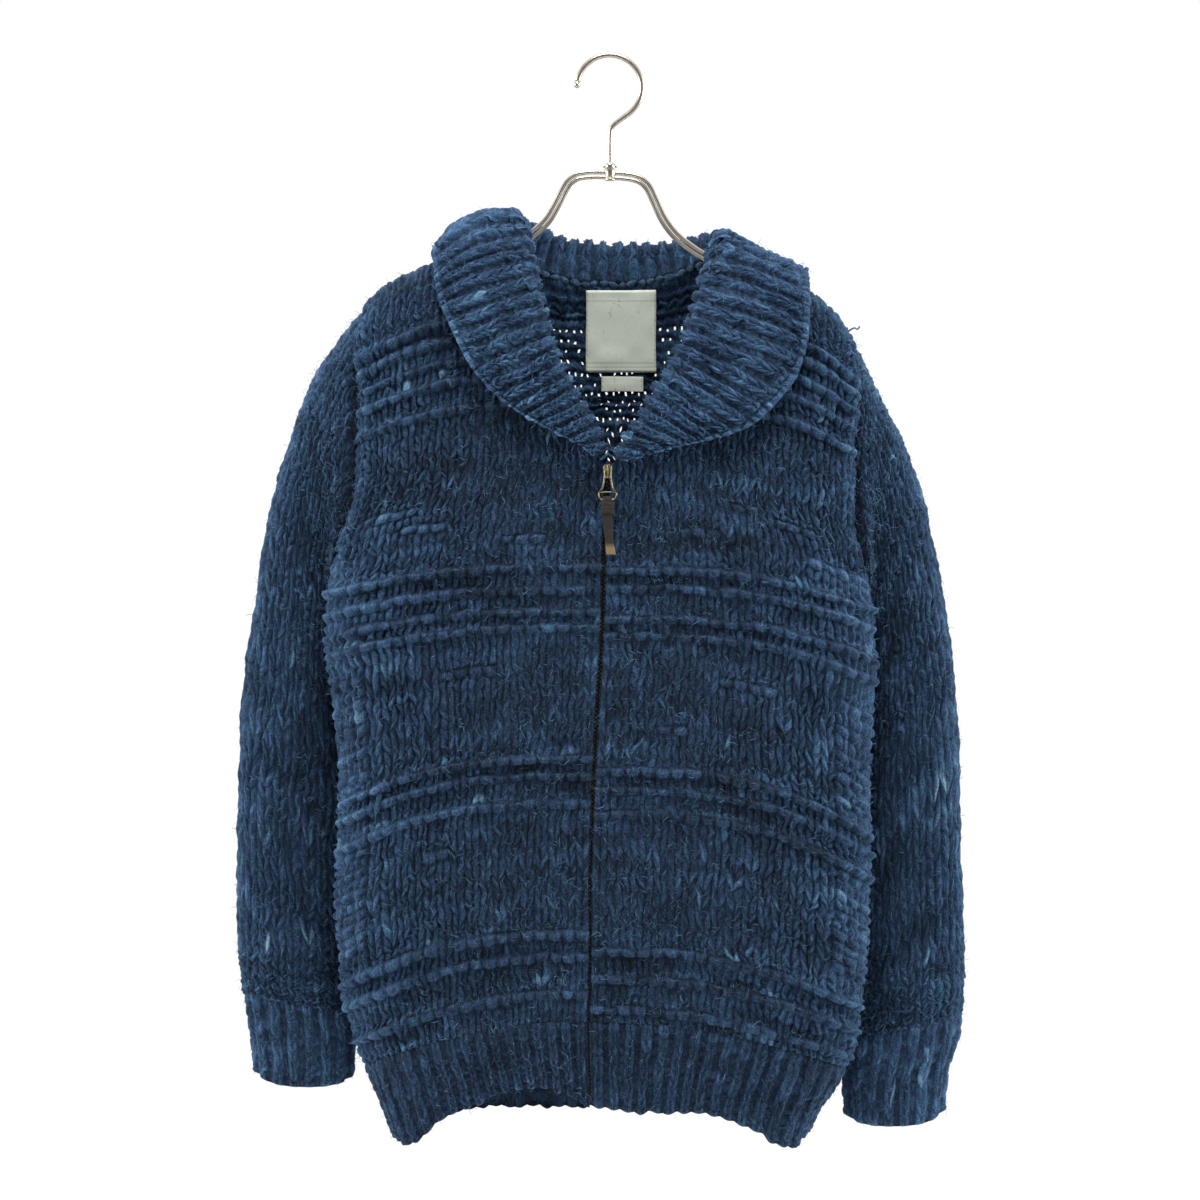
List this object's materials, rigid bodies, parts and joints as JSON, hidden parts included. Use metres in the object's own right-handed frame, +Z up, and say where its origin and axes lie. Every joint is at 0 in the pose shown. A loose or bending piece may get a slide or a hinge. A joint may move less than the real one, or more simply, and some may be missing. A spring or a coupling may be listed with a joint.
{
  "type": "cowichan cardigan on a wire hanger",
  "caption": "Chunky hand-knit zip-up cardigan with a folded shawl collar, long sleeves and ribbed cuffs and hem, hanging open at the neck on a wire hanger.",
  "frame": {"origin": "inside top of the hanger's hook, where it bears on a rail", "axes": "+Z up, the front of the cardigan faces -Y, +X to the right of someone who faces the front"},
  "size_m": [0.6113, 0.1128, 0.9168],
  "materials": {
    "indigo_wool": "matte hand-knit wool, heathered indigo",
    "indigo_rib": "matte ribbed wool, heathered indigo",
    "zip_tape": "matte woven tape",
    "aged_brass": "aged, satin",
    "brown_leather": "dull, rubbed at the edges",
    "label_satin": "woven satin, bare",
    "hanger_steel": "satin nickel"
  },
  "bodies": {
    "cardigan": {"back_panel": "indigo_wool", "cuff_left": "indigo_rib", "cuff_right": "indigo_rib", "front_left": "indigo_wool", "front_right": "indigo_wool", "hanger_hook": "hanger_steel", "hanger_joint": "hanger_steel", "hanger_rod_lower": "hanger_steel", "hanger_rod_upper": "hanger_steel", "hem_rib_back": "indigo_rib", "hem_rib_left": "indigo_rib", "hem_rib_right": "indigo_rib", "neck_label": "label_satin", "shawl_collar": "indigo_rib", "size_label": "label_satin", "sleeve_left": "indigo_wool", "sleeve_right": "indigo_wool", "zip_chain": "aged_brass", "zip_slider": "aged_brass", "zip_tape_left": "zip_tape", "zip_tape_right": "zip_tape"},
    "zip_pull": {"pull_ring": "aged_brass", "pull_bar": "aged_brass", "leather_tab": "brown_leather"}
  },
  "joints": [
    {"name": "zip_pull_swing", "type": "hinge", "parent": "cardigan", "child": "zip_pull", "pos_m": [-0.0004, -0.0509, -0.3475], "axis": [-1, 0, 0], "range_deg": [0, 135]}
  ]
}
